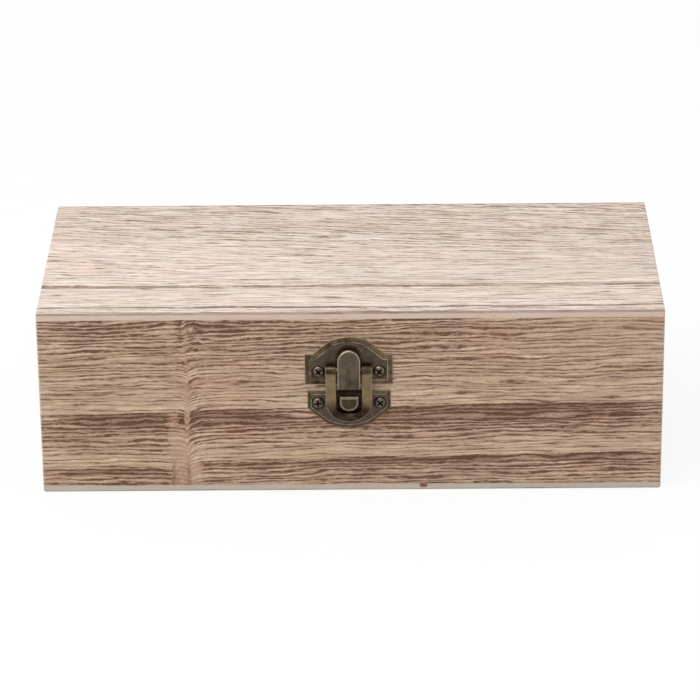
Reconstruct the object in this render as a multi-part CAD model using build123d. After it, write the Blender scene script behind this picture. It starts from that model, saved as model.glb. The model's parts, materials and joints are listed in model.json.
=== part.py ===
from build123d import *
from math import acos, atan2, cos, degrees, hypot, radians, sin
import os

# Paulownia brush box with a hinged lid, a bronzed draw latch and two surface hinges.
# Millimetres. +X runs along the box, -Y is the front, +Z is up.
# The origin is the centre of the underside of the bottom panel. The lid is shut.

# ---------------------------------------------------------------- wooden box
box_width = 230.0
box_depth = 108.0
base_height = 42.2  # the box is glued up shut, then sawn open at this height
lid_height = 29.8
wall = 7.0  # thickness of the boards
panel = 2.5  # thickness of the top and bottom panels
rabbet = 3.5  # depth of the step in the long boards that takes an end board
corner_radius = 1.0  # sanded upright corners
edge_radius = 0.7  # sanded edges of the panels
rim_ease = 0.15  # broken edges along the saw cut

# ---------------------------------------------------------------- wood screws
screw_head_radius = 2.15
screw_crown_radius = 1.45  # flat top of the raised head
screw_head_rise = 0.75  # height of the crown above the head's rim
screw_cone = 0.5  # depth of the countersunk part under the rim
screw_shank_radius = 1.0
screw_length = 6.0  # below the head's rim
recess_span = 2.7  # cross recess, arm to arm
recess_width = 0.55
recess_depth = 0.7
screw_clearance = 0.04

# ---------------------------------------------------------------- latch: plates
latch_offset = -0.7  # the latch sits a little left of the middle
plate_rise = 1.1  # how far the raised field of a plate stands off the wood
plate_edge = 0.35  # upright edge round a plate, below its sloping rim

upper_plate_width = 32.3
upper_plate_height = 18.9
upper_plate_gap = 1.4  # from the saw cut up to the plate
upper_rim = 1.9  # width of the sloping rim
shoulder_height = 12.0  # from the plate's lower edge
shoulder_width = 2.9
upper_crown_width = 12.8  # the arch between its two slanting sides
upper_crown_drop = 1.1
upper_screw_spacing = 22.4
upper_screw_height = 5.2  # above the plate's lower edge
nail_recess_width = 10.0  # hollow behind the lever's tip, for a fingernail
nail_recess_depth = 0.6
nail_recess_reach = 1.7  # how far it shows past the tip

lower_plate_width = 30.5
lower_plate_height = 15.0
lower_plate_gap = 1.1  # from the saw cut down to the plate
lower_rim = 1.4
lower_side_height = 7.2  # straight sides, from the plate's upper edge
lower_crown_width = 17.2
lower_crown_drop = 2.1
lower_screw_spacing = 23.0
lower_screw_height = 5.0  # below the plate's upper edge
crown_blend = 3.0  # radius between the crown and the slanting sides
dimple_radius = 2.75  # dished seat of a screw head
dimple_depth = 0.4

# ---------------------------------------------------------------- latch: hook
hook_width = 7.0
hook_length = 5.9
hook_drop = 1.7  # from the plate's upper edge to the root of the hook
hook_sheet = 0.6
hook_reach = 2.55  # how far the hook's tip stands off the wood
hook_lean = 0.15  # how much further out its tip stands than its shoulder
hook_bend = 0.9  # height over which it leaves the plate
hook_slot = 0.1  # gap round the hook where it was cut from the plate
dish_rim = 0.85  # width of the raised rim round the sunk face of the hook
dish_depth = 0.3

# ---------------------------------------------------------------- latch: lever
running_clearance = 0.05  # between a pin and what turns on it
side_clearance = 0.2  # between the lever's cheeks and what is beside them
lever_pin_radius = 0.65
lever_pin_reach = 2.8  # axis of the lever, off the wood
lever_pin_height = 2.1  # axis of the lever, above the saw cut
tongue_sheet = 0.6
tongue_foot = 3.6  # height above the lever's axis at which the tongue leaves the plate
lever_width = 8.6
lever_sheet = 0.65
lever_cheek = 0.7
lever_tip_height = 13.9  # above the lever's axis
lever_tip_reach = 3.1  # front of the tip, off the wood
lever_tip_thickness = 0.9
lever_flat = 6.7  # the lever's face is flat this far above its axis
lever_wrap = 40.0  # degrees that the lever curls on under its axis
lever_edge = 0.35  # bevelled edge round the lever's face

# ---------------------------------------------------------------- latch: loop
loop_pin_radius = 0.7
loop_pin_reach = 3.2  # axis of the loop, off the wood
loop_pin_height = 6.3  # axis of the loop, above the lever's axis
loop_sheet = 0.75
loop_width = 17.1
loop_window = 9.3
loop_arm = 14.5  # from the loop's axis down to the knee
loop_bow = 6.4  # from the knee to the end
loop_bend = 12.0  # degrees that the bow bends in at the knee
loop_hang = 6.95  # degrees that the loop leans out when it hangs from its pin
loop_play = 0.3  # from the hook's tip down to the bow
loop_corner = 0.8
window_corner = 2.5

# ---------------------------------------------------------------- hinges
hinge_spacing = 140.0
hinge_width = 20.0
hinge_leaf = 11.0  # from the axis to the edge of a leaf
hinge_sheet = 0.8
hinge_pin_radius = 0.85
hinge_knuckle = 7.0  # middle knuckle, on the lid leaf
hinge_gap = 0.15
hinge_corner = 1.6
hinge_screw_spacing = 12.0
hinge_screw_height = 7.0  # from the axis
hinge_head_rise = 0.45
hinge_screw_length = 5.5
roll_seam = 0.12  # hairline where the end of a rolled sheet comes round
roll_end = 40.0  # degrees before the strip at which the rolled end stops

# ---------------------------------------------------------------- worked out
box_height = base_height + lid_height
front_y = -box_depth / 2
back_y = box_depth / 2
lever_axis = (lever_pin_reach, base_height + lever_pin_height)
loop_axis = (loop_pin_reach, lever_axis[1] + loop_pin_height)
upper_plate_z = base_height + upper_plate_gap
lower_plate_z = base_height - lower_plate_gap
upper_screw_z = upper_plate_z + upper_screw_height
lower_screw_z = lower_plate_z - lower_screw_height
hook_root_z = lower_plate_z - hook_drop
hook_tip_z = hook_root_z - hook_length
hinge_radius = hinge_pin_radius + running_clearance + hinge_sheet
hinge_axis = (hinge_radius, base_height)

# Working planes. On face_plane, x is across the box, y is height and z is the distance off the wood.
# On the side planes, x is the distance off the wood and y is height, for shapes drawn from the side.
face_plane = Plane(origin=(latch_offset, front_y, 0), x_dir=(1, 0, 0), z_dir=(0, -1, 0))
side_plane = Plane(origin=(latch_offset, front_y, 0), x_dir=(0, -1, 0), z_dir=(-1, 0, 0))


def polar(centre, radius, angle):
    return (centre[0] + radius * cos(radians(angle)), centre[1] + radius * sin(radians(angle)))


def across(profile, width):
    """A side view made solid, with half of its width to each side of its plane."""
    return extrude(profile, amount=width / 2, both=True)


def disc(centre, radius):
    return Pos(*centre) * Circle(radius)


def rolled_eye(axis, bore, sheet, foot, side):
    """Side view of a sheet whose end is rolled into an eye: a strip from foot that meets the ring
    on its left (side = 1) or right (side = -1) as seen from the axis towards foot."""
    middle = bore + sheet / 2
    reach = (foot[0] - axis[0], foot[1] - axis[1])
    turn = atan2(reach[1], reach[0]) + side * acos(middle / hypot(*reach))
    normal = (cos(turn), sin(turn))
    touch = (axis[0] + middle * normal[0], axis[1] + middle * normal[1])
    half = (normal[0] * sheet / 2, normal[1] * sheet / 2)
    strip = Polygon(
        (foot[0] - half[0], foot[1] - half[1]),
        (foot[0] + half[0], foot[1] + half[1]),
        (touch[0] + half[0], touch[1] + half[1]),
        (touch[0] - half[0], touch[1] - half[1]),
        align=None,
    )
    seam_turn = degrees(turn) - side * roll_end
    seam = Rot(0, 0, seam_turn) * Rectangle(2 * sheet, roll_seam)
    return strip + disc(axis, bore + sheet) - disc(axis, bore) - Pos(*polar(axis, middle, seam_turn)) * seam


# ---------------------------------------------------------------- wood


def long_board(bottom, height, facing):
    """Front (facing = -1) or back (facing = 1) board, stepped at both ends for the end boards."""
    middle_y = facing * (box_depth - wall) / 2
    board = Pos(0, middle_y, bottom + height / 2) * Box(box_width, wall, height)
    step_y = facing * (box_depth / 2 - rabbet - (wall - rabbet) / 2)
    for end in (-1, 1):
        step = Box(wall, wall - rabbet, height)
        board -= Pos(end * (box_width - wall) / 2, step_y, bottom + height / 2) * step
    corners = board.edges().filter_by(Axis.Z).group_by(Axis.Y)[0 if facing < 0 else -1]
    return fillet(corners, corner_radius)


def end_board(bottom, height, side):
    length = box_depth - 2 * rabbet
    return Pos(side * (box_width - wall) / 2, 0, bottom + height / 2) * Box(wall, length, height)


def cover_panel(bottom, outer):
    """Top or bottom panel; outer is the side that shows: 1 for its top, -1 for its underside."""
    sheet = Pos(0, 0, bottom + panel / 2) * Box(box_width, box_depth, panel)
    sheet = fillet(sheet.edges().filter_by(Axis.Z), corner_radius)
    faces = sheet.faces().sort_by(Axis.Z)
    return fillet((faces[-1] if outer > 0 else faces[0]).edges(), edge_radius)


def outside(edge):
    middle = edge.center()
    beside = abs(middle.X) > box_width / 2 - corner_radius
    return beside or abs(middle.Y) > box_depth / 2 - corner_radius


def ease_rim(board, at_top):
    """Break the outer edge of a board along the saw cut."""
    return chamfer(board.edges().group_by(Axis.Z)[-1 if at_top else 0].filter_by(outside), rim_ease)


# ---------------------------------------------------------------- screws


def wood_screw(head_rise, length):
    """A countersunk raised-head screw along +Z, with the head's rim at z = 0."""
    outline = Polyline(
        (0, head_rise),
        (screw_crown_radius, head_rise),
        (screw_head_radius, 0),
        (screw_shank_radius, -screw_cone),
        (screw_shank_radius, -length),
        (0, -length),
        (0, head_rise),
    )
    screw = revolve(make_face(Plane.XZ * outline), Axis.Z)
    slot = Pos(0, 0, head_rise) * Box(recess_span, recess_width, 2 * recess_depth)
    return screw - slot - Rot(0, 0, 90) * slot


def screw_hole(length):
    """What a screw passes through: its countersink and its pilot hole, with clearance."""
    seat = Cone(
        screw_shank_radius + screw_clearance,
        screw_head_radius + screw_clearance,
        screw_cone,
        align=(Align.CENTER, Align.CENTER, Align.MAX),
    )
    depth = length + screw_clearance
    pilot = Cylinder(
        screw_shank_radius + screw_clearance, depth, align=(Align.CENTER, Align.CENTER, Align.MAX)
    )
    return seat + pilot


# ---------------------------------------------------------------- latch


def pressed_plate(outline, rim):
    """A plate with a raised flat field and a rim that slopes down to an upright edge."""
    field = offset(outline, -rim, kind=Kind.INTERSECTION)
    slope = loft([Pos(0, 0, plate_edge) * outline, Pos(0, 0, plate_rise) * field], ruled=True)
    return extrude(outline, plate_edge) + slope


def screw_places(spacing, height):
    seat = plate_rise - dimple_depth
    return [Pos(side * spacing / 2, height, seat) for side in (-1, 1)]


def dimple():
    return Cone(
        screw_head_radius + screw_clearance,
        dimple_radius,
        dimple_depth,
        align=(Align.CENTER, Align.CENTER, Align.MIN),
    )


def upper_outline():
    half = upper_plate_width / 2
    low = upper_plate_z
    shoulder = low + shoulder_height
    top = low + upper_plate_height
    crown = (upper_crown_width / 2, top - upper_crown_drop)
    foot = (half - shoulder_width, shoulder)
    right = Polyline((0, low), (half, low), (half, shoulder), foot, crown)
    left = Polyline((-crown[0], crown[1]), (-foot[0], foot[1]), (-half, shoulder), (-half, low), (0, low))
    arch = ThreePointArc(crown, (0, top), (-crown[0], crown[1]))
    return make_face(right + arch + left)


def lower_outline():
    half = lower_plate_width / 2
    high = lower_plate_z
    side = high - lower_side_height
    bottom = high - lower_plate_height
    crown = (lower_crown_width / 2, bottom + lower_crown_drop)
    right = Polyline((0, high), (half, high), (half, side), crown)
    left = Polyline((-crown[0], crown[1]), (-half, side), (-half, high), (0, high))
    arch = ThreePointArc(crown, (0, bottom), (-crown[0], crown[1]))
    return make_face(right + arch + left)


def upper_plate():
    """Pressed plate on the lid, with a nail recess and a tongue rolled into the lever's eye."""
    outline = fillet(
        upper_outline().vertices().filter_by(lambda v: abs(abs(v.X) - upper_crown_width / 2) < 0.01),
        crown_blend,
    )
    plate = pressed_plate(outline, upper_rim)
    tip_z = lever_axis[1] + lever_tip_height
    recess_radius = nail_recess_width / 2
    recess_middle = (0, tip_z + nail_recess_reach - recess_radius)
    recess = disc(recess_middle, recess_radius)
    recess += Pos(*recess_middle) * Rectangle(
        nail_recess_width, recess_radius, align=(Align.CENTER, Align.MAX)
    )
    plate -= Pos(0, 0, plate_rise - nail_recess_depth) * extrude(recess, nail_recess_depth)
    for place in screw_places(upper_screw_spacing, upper_screw_z):
        plate -= place * dimple() + place * screw_hole(screw_length)
    plate = face_plane * plate

    foot = (plate_rise - tongue_sheet / 2, lever_axis[1] + tongue_foot)
    tongue = rolled_eye(lever_axis, lever_pin_radius + running_clearance / 2, tongue_sheet, foot, 1)
    width = lever_width - 2 * (lever_cheek + side_clearance)
    return plate + side_plane * across(tongue, width)


def lower_plate():
    """Pressed plate on the base, with the hook cut from it and bent out."""
    outline = fillet(
        lower_outline().vertices().filter_by(lambda v: abs(abs(v.X) - lower_crown_width / 2) < 0.01),
        crown_blend,
    )
    plate = pressed_plate(outline, lower_rim)
    radius = hook_width / 2
    tongue = disc((0, hook_tip_z + radius), radius)
    tongue += Pos(0, (hook_tip_z + radius + lower_plate_z) / 2) * Rectangle(
        hook_width, lower_plate_z - hook_tip_z - radius
    )
    below_root = Pos(0, hook_root_z, 0) * Rectangle(
        lower_plate_width, 2 * hook_length, align=(Align.CENTER, Align.MAX)
    )
    plate -= extrude(offset(tongue, hook_slot) & below_root, plate_rise)
    for place in screw_places(lower_screw_spacing, lower_screw_z):
        plate -= place * dimple() + place * screw_hole(screw_length)

    outer = (hook_reach - hook_lean, hook_root_z)
    inner = (outer[0] - hook_sheet, outer[1] - hook_sheet)
    side = Polygon(
        (plate_rise - hook_sheet, hook_root_z + hook_sheet),
        (plate_rise, hook_root_z + hook_sheet),
        (plate_rise, hook_root_z),
        outer,
        (hook_reach, hook_tip_z),
        (hook_reach - hook_sheet, hook_tip_z),
        inner,
        (plate_rise - hook_sheet, inner[1]),
        align=None,
    )
    side = fillet(side.vertices().sort_by_distance((*outer, 0))[0], hook_bend)
    side = fillet(side.vertices().sort_by_distance((*inner, 0))[0], hook_bend - hook_sheet)
    hook = side_plane * across(side, hook_width)
    hook &= face_plane * extrude(tongue, 2 * hook_reach)
    below_bend = Pos(0, hook_root_z - hook_bend - dish_rim / 2, 0) * Rectangle(
        hook_width, 2 * hook_length, align=(Align.CENTER, Align.MAX)
    )
    dish = extrude(offset(tongue, -dish_rim) & below_bend, 2 * dish_depth)
    hook -= face_plane * Pos(0, 0, hook_reach - dish_depth) * dish
    return face_plane * plate + hook


def lever():
    """Duck-bill lever: a pressed channel, open at the back, whose foot curls round the tongue's eye."""
    inner = lever_pin_radius + running_clearance / 2 + tongue_sheet + side_clearance / 2
    outer = inner + lever_sheet
    tip_z = lever_axis[1] + lever_tip_height
    flat_z = lever_axis[1] + lever_flat
    tip = (lever_tip_reach, tip_z)
    back = lever_axis[0] - inner

    def skin(radius, end):
        """The line of the lever's face, from its curled foot to its tip, that far from the axis."""
        foot = polar(lever_axis, radius, -lever_wrap)
        curl = polar(lever_axis, radius, -lever_wrap / 2)
        front = lever_axis[0] + radius
        low = ThreePointArc(foot, curl, (front, lever_axis[1]))
        flat = Line((front, lever_axis[1]), (front, flat_z))
        return low + flat + TangentArc((front, flat_z), end, tangent=(0, 1))

    cheek_z = loop_axis[1] + lever_cheek + loop_pin_radius
    cheek_back = loop_axis[0] - loop_pin_radius - running_clearance - lever_cheek
    cheek = Polyline(
        tip,
        (lever_tip_reach - lever_tip_thickness, tip_z),
        (cheek_back, cheek_z),
        (back, lever_axis[1]),
    )
    under_middle = polar(lever_axis, (inner + outer) / 2, -90 - lever_wrap / 2)
    under = ThreePointArc((back, lever_axis[1]), under_middle, polar(lever_axis, outer, -lever_wrap))
    side = make_face(skin(outer, tip) + cheek + under)
    inside_tip = (lever_tip_reach - lever_sheet, tip_z - lever_sheet / 2)
    hollow_foot = polar(lever_axis, inner, -lever_wrap)
    hollow_back = Polyline(
        inside_tip,
        (0, inside_tip[1]),
        (0, base_height),
        (hollow_foot[0], base_height),
        hollow_foot,
    )
    hollow = make_face(skin(inner, inside_tip) + hollow_back)

    radius = lever_width / 2
    bill = disc((0, tip_z - radius), radius)
    bill += Pos(0, tip_z - radius) * Rectangle(
        lever_width, 2 * lever_tip_height, align=(Align.CENTER, Align.MAX)
    )
    depth = 2 * (lever_axis[0] + outer)
    body = side_plane * across(side, lever_width) & face_plane * extrude(bill, depth)
    face_y = front_y - lever_tip_reach + lever_tip_thickness / 2

    def rims_face(edge):
        middle = edge.center()
        beside = abs(middle.X - latch_offset) > radius - lever_edge
        return middle.Y < face_y and (beside or middle.Z > tip_z - radius)

    body = chamfer(body.edges().filter_by(rims_face), lever_edge)
    room = side_plane * across(hollow, lever_width)
    body -= room & face_plane * extrude(offset(bill, -lever_cheek), depth)
    for axis, pin_radius in ((lever_axis, lever_pin_radius), (loop_axis, loop_pin_radius)):
        body -= side_plane * across(disc(axis, pin_radius + running_clearance), 2 * lever_width)
    return body


def loop():
    """Hasp loop: two rolled eyes, two arms, and a bow that bends in towards the plate."""
    bore = loop_pin_radius + running_clearance
    middle = bore + loop_sheet / 2
    bend = radians(loop_bend)
    hang = radians(loop_hang)
    knee = (-middle, -loop_arm)
    end = (knee[0] - loop_bow * sin(bend), knee[1] - loop_bow * cos(bend))
    across_bow = (cos(bend) * loop_sheet / 2, -sin(bend) * loop_sheet / 2)
    bow = Polygon(
        (knee[0] - across_bow[0], knee[1] - across_bow[1]),
        (knee[0] + across_bow[0], knee[1] + across_bow[1]),
        (end[0] + across_bow[0], end[1] + across_bow[1]),
        (end[0] - across_bow[0], end[1] - across_bow[1]),
        align=None,
    )
    side = rolled_eye((0, 0), bore, loop_sheet, knee, -1) + disc(knee, loop_sheet / 2) + bow

    # how far down the bow the window ends, so that its edge hangs just under the hook's tip
    drop = loop_axis[1] - hook_tip_z + loop_play
    down_bow = (drop - loop_arm * cos(hang) - middle * sin(hang)) / cos(bend - hang)
    window_z = knee[1] - down_bow * cos(bend)
    half = loop_width / 2
    top = bore + loop_sheet
    outline = Pos(0, top) * Rectangle(
        loop_width, top - end[1] - half, align=(Align.CENTER, Align.MAX)
    )
    outline = fillet(outline.vertices().group_by(Axis.Y)[-1], loop_corner)
    outline += disc((0, end[1] + half), half)
    window = Pos(0, window_z) * Rectangle(
        loop_window, 2 * top - window_z, align=(Align.CENTER, Align.MIN)
    )
    outline -= fillet(window.vertices().group_by(Axis.Y)[0], window_corner)
    front_view = Plane(origin=(-2 * loop_width, 0, 0), x_dir=(0, 0, -1), z_dir=(1, 0, 0))
    body = across(side, loop_width) & front_view * extrude(outline, 4 * loop_width)
    return side_plane * Pos(*loop_axis, 0) * Rot(0, 0, loop_hang) * body


def pin(plane, axis, radius, length):
    """A plain pin across a side plane."""
    return plane * across(disc(axis, radius), length)


# ---------------------------------------------------------------- hinges


def hinge_side_plane(middle):
    return Plane(origin=(middle, back_y, 0), x_dir=(0, 1, 0), z_dir=(1, 0, 0))


def hinge_face_plane(middle):
    return Plane(origin=(middle, back_y, 0), x_dir=(-1, 0, 0), z_dir=(0, 1, 0))


def hinge_screw_places(middle, up):
    height = base_height + up * hinge_screw_height
    spread = hinge_screw_spacing / 2
    return [hinge_face_plane(middle) * Pos(side * spread, height, hinge_sheet) for side in (-1, 1)]


def hinge_leaf_piece(middle, up):
    """One leaf with its knuckles: the lid's (up = 1) has the middle knuckle, the base's the outer two."""
    foot = (hinge_sheet / 2, base_height + up * hinge_leaf)
    bore = hinge_pin_radius + running_clearance
    leaf = across(rolled_eye(hinge_axis, bore, hinge_sheet, foot, up), hinge_width)
    corners = leaf.edges().filter_by(Axis.X).group_by(Axis.Y)[-1 if up > 0 else 0]
    leaf = fillet(corners, hinge_corner)
    room = 2 * (hinge_radius + hinge_gap)
    if up < 0:
        cuts = [Pos(hinge_axis[0], base_height, 0) * Box(room, room, hinge_knuckle + 2 * hinge_gap)]
    else:
        outer = (hinge_width - hinge_knuckle) / 2
        place = (hinge_knuckle + outer) / 2
        cuts = [Pos(hinge_axis[0], base_height, side * place) * Box(room, room, outer) for side in (-1, 1)]
    for cut in cuts:
        leaf -= cut
    leaf = hinge_side_plane(middle) * leaf
    for place in hinge_screw_places(middle, up):
        leaf -= place * screw_hole(hinge_screw_length)
    return leaf


# ---------------------------------------------------------------- pieces

upper_screws = [face_plane * place for place in screw_places(upper_screw_spacing, upper_screw_z)]
lower_screws = [face_plane * place for place in screw_places(lower_screw_spacing, lower_screw_z)]
hinges = {"left_hinge": -hinge_spacing / 2, "right_hinge": hinge_spacing / 2}


def drilled(board, screws, length):
    for place in screws:
        board -= place * screw_hole(length)
    return board


pieces = {}
halves = (("base", panel, base_height - panel, -1), ("lid", base_height, lid_height - panel, 1))
for body, bottom, height, up in halves:
    at_top = up < 0
    latch_screws = lower_screws if up < 0 else upper_screws
    hinge_screws = [place for middle in hinges.values() for place in hinge_screw_places(middle, up)]
    front = drilled(long_board(bottom, height, -1), latch_screws, screw_length)
    back = drilled(long_board(bottom, height, 1), hinge_screws, hinge_screw_length)
    pieces[body + "_front_board"] = ease_rim(front, at_top)
    pieces[body + "_back_board"] = ease_rim(back, at_top)
    pieces[body + "_left_board"] = ease_rim(end_board(bottom, height, -1), at_top)
    pieces[body + "_right_board"] = ease_rim(end_board(bottom, height, 1), at_top)
pieces["bottom_panel"] = cover_panel(0, -1)
pieces["top_panel"] = cover_panel(box_height - panel, 1)

pieces["latch_upper_plate"] = upper_plate()
pieces["latch_lower_plate"] = lower_plate()
pieces["latch_lever"] = lever()
pieces["latch_loop"] = loop()
pieces["lever_pin"] = pin(side_plane, lever_axis, lever_pin_radius, lever_width + side_clearance)
pieces["loop_pin"] = pin(side_plane, loop_axis, loop_pin_radius, loop_width - 2 * side_clearance)
latch_screw = wood_screw(screw_head_rise, screw_length)
pieces["upper_plate_screws"] = [place * latch_screw for place in upper_screws]
pieces["lower_plate_screws"] = [place * latch_screw for place in lower_screws]

hinge_screw = wood_screw(hinge_head_rise, hinge_screw_length)
for name, middle in hinges.items():
    pieces[name + "_base_leaf"] = hinge_leaf_piece(middle, -1)
    pieces[name + "_lid_leaf"] = hinge_leaf_piece(middle, 1)
    pieces[name + "_pin"] = pin(hinge_side_plane(middle), hinge_axis, hinge_pin_radius, hinge_width)
    pieces[name + "_base_screws"] = [place * hinge_screw for place in hinge_screw_places(middle, -1)]
    pieces[name + "_lid_screws"] = [place * hinge_screw for place in hinge_screw_places(middle, 1)]

os.makedirs("parts", exist_ok=True)
for name, piece in pieces.items():
    if isinstance(piece, list):
        piece = Compound(children=[solid for item in piece for solid in item.solids()])
    export_step(piece, f"parts/{name}.step")
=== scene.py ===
# %% [markdown]
# # A torched brush box with a draw latch
# A long low box of paulownia, a very light wood with coarse growth rings. The closed box was scorched with a
# torch and then brushed, so the soft wood is dark and worn away and the hard wood stays pale. A small bronzed
# draw latch holds the lid, which swings on two hinges at the back.
#
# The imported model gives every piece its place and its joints. This script adds only the look: soft metal
# edges, wood grain, patina, light and a camera. Each cell takes one step, and the text before it says what
# the real piece is, how it could be made, and why this way was chosen.

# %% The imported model
import json
import math

import bmesh
import bpy
from mathutils import Matrix, Vector


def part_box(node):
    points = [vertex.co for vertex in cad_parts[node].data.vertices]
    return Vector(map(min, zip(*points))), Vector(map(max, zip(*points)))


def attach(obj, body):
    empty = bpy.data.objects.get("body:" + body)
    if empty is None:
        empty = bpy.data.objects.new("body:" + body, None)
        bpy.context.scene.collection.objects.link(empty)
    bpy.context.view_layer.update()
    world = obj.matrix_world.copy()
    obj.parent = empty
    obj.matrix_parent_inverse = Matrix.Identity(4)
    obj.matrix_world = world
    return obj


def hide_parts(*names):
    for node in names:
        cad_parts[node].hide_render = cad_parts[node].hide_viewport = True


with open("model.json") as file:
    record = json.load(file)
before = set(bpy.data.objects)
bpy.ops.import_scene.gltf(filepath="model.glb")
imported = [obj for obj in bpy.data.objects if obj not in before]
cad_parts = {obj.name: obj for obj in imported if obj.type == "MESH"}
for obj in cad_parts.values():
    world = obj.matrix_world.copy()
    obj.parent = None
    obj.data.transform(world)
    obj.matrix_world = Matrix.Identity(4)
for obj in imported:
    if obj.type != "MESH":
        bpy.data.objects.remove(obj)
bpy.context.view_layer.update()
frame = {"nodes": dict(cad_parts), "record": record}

MM = 0.001
nodes = frame["nodes"]
bodies = frame["record"]["behaviour"]["bodies"]
body_of_node = {name: body for body, names in bodies.items() for name in names}
half_width, half_depth, box_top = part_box("top_panel")[1] / MM
print(len(nodes), "pieces on", len(bodies), "bodies:", ", ".join(bodies))
print("the wood measures", round(2 * half_width), "by", round(2 * half_depth), "by", round(box_top), "mm")

# %% [markdown]
# ## The camera
# The box is seen from a little above its front, from far away through a long lens, so its upright edges
# stay nearly parallel. A camera set by hand is never quite level: this one is turned and tilted by a
# fraction of a degree. A camera looks along its own -Z with +Y up, so its three directions are worked out
# from the angles and become the columns of its matrix. An aim constraint could do it too, but not the tilt.

# %% The camera
elevation = math.radians(23.752)
yaw = math.radians(0.443)
roll = math.radians(-0.584)
distance = 1.393858
aim = Vector((0, 0, 0.035))


def new_object(name, data):
    made = bpy.data.objects.new(name, data)
    bpy.context.scene.collection.objects.link(made)
    return made


level_reach = math.cos(elevation)
backward = Vector((math.sin(yaw) * level_reach, -math.cos(yaw) * level_reach, math.sin(elevation)))
level_right = Vector((math.cos(yaw), math.sin(yaw), 0))
level_up = backward.cross(level_right)
camera_right = level_right * math.cos(roll) + level_up * math.sin(roll)
camera_up = level_up * math.cos(roll) - level_right * math.sin(roll)

camera_data = bpy.data.cameras.new("camera")
camera_data.sensor_width = 36.0
camera_data.lens = 187.374
camera_data.shift_x = -0.0023
camera_data.shift_y = -0.0059
camera = new_object("camera", camera_data)
turn = Matrix((camera_right, camera_up, backward)).transposed().to_4x4()
camera.matrix_world = Matrix.Translation(aim + backward * distance) @ turn
bpy.context.scene.camera = camera
bpy.context.scene.view_settings.view_transform = "Standard"
print("the camera stands", round(camera.matrix_world.translation.z, 2), "m high,", round(distance, 2), "m away")

# %% [markdown]
# ## Colours and wires
# A material is a tree of nodes, joined by wires from one node's output to another's input. These helpers
# add a node and wire it in one call. A plain value is set on the socket, and another node's output is
# wired to it. Colours are written as they look on a screen and changed to linear light.


# %% Helpers: colours and wires
def screen(red, green, blue):
    """A colour as it looks on a screen, from 0 to 255, as the linear colour that a node takes."""
    linear = []
    for level in (red, green, blue):
        level /= 255
        linear.append(level / 12.92 if level <= 0.04045 else ((level + 0.055) / 1.055) ** 2.4)
    return (*linear, 1.0)


def wire(tree, value, socket):
    if isinstance(value, bpy.types.NodeSocket):
        tree.links.new(value, socket)
    else:
        socket.default_value = value


def add_node(tree, kind, inputs=None, **settings):
    node = tree.nodes.new(kind)
    for name, value in settings.items():
        setattr(node, name, value)
    for name, value in (inputs or {}).items():
        wire(tree, value, node.inputs[name])
    return node


def say_made(*helpers):
    print("made", ", ".join(helper.__name__ for helper in helpers))


say_made(screen, wire, add_node)
print("a screen grey of 128 gives", round(screen(128, 128, 128)[0], 3), "of the light of white")

# %% [markdown]
# ## Arithmetic with nodes
# Every pattern here is arithmetic on a point's place. The commonest step is a value times a factor plus
# something. A fade turns a length into a mask with a soft edge, and two fades back to back make a band.


# %% Helpers: arithmetic
def calc(tree, operation, *values, clamp=False):
    node = add_node(tree, "ShaderNodeMath", operation=operation, use_clamp=clamp)
    for socket, value in zip(node.inputs, values):
        wire(tree, value, socket)
    return node.outputs[0]


def times(tree, value, factor, plus=0.0):
    return calc(tree, "MULTIPLY_ADD", value, factor, plus)


def chain(tree, operation, first, *others):
    """Several values joined by one operation, such as their product or their maximum."""
    for value in others:
        first = calc(tree, operation, first, value)
    return first


def fade(tree, value, start, end):
    """0 up to start, 1 from end, and smooth between them. Start may be above end."""
    reach = {"Value": value, "From Min": start, "From Max": end}
    return add_node(tree, "ShaderNodeMapRange", reach, interpolation_type="SMOOTHSTEP").outputs[0]


def between(tree, value, low, high, soft):
    """1 between low and high and 0 outside them. Each edge fades over twice soft."""
    rising = fade(tree, value, low - soft, low + soft)
    return calc(tree, "MULTIPLY", rising, fade(tree, value, high + soft, high - soft))


def oval(tree, first, second, middle, radii):
    """0 in the middle of an oval, 1 on its outline and more outside: the square of the distance."""
    parts = []
    for place, centre, radius in zip((first, second), middle, radii):
        share = calc(tree, "DIVIDE", calc(tree, "SUBTRACT", place, centre), radius)
        parts.append(calc(tree, "MULTIPLY", share, share))
    return calc(tree, "ADD", *parts)


say_made(calc, times, chain, fade, between, oval)

# %% [markdown]
# ## Clouds and coats
# A cloud is a random pattern whose blobs have a given size in millimetres along each axis, because wood is
# all long thin features. A swing is a cloud around zero, to push something to and fro. A coat lays one
# colour over another, as thickly as a mask says, or darkens it by multiplying.


# %% Helpers: clouds and coats
def vector(tree, x, y, z):
    return add_node(tree, "ShaderNodeCombineXYZ", {"X": x, "Y": y, "Z": z}).outputs[0]


def cloud(tree, point, sizes, detail=2.0, roughness=0.5):
    scaled = add_node(tree, "ShaderNodeVectorMath", {0: point, 1: sizes}, operation="DIVIDE").outputs[0]
    look = {"Vector": scaled, "Scale": 1.0, "Detail": detail, "Roughness": roughness}
    return add_node(tree, "ShaderNodeTexNoise", look, noise_dimensions="3D").outputs[0]


def swing(tree, point, sizes, detail=2.0, roughness=0.5):
    return calc(tree, "SUBTRACT", cloud(tree, point, sizes, detail, roughness), 0.5)


def coat(tree, amount, under, over, mode="MIX"):
    node = add_node(tree, "ShaderNodeMix", data_type="RGBA", blend_type=mode, clamp_factor=True)
    for socket, value in ((0, amount), (6, under), (7, over)):
        wire(tree, value, node.inputs[socket])
    return node.outputs[2]


say_made(vector, cloud, swing, coat)

# %% [markdown]
# ## Groups
# A node group is a small tree with named inputs and outputs. It is built once and placed in several
# materials. Copying its nodes into each would work too, but a correction would be needed in all.


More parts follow.
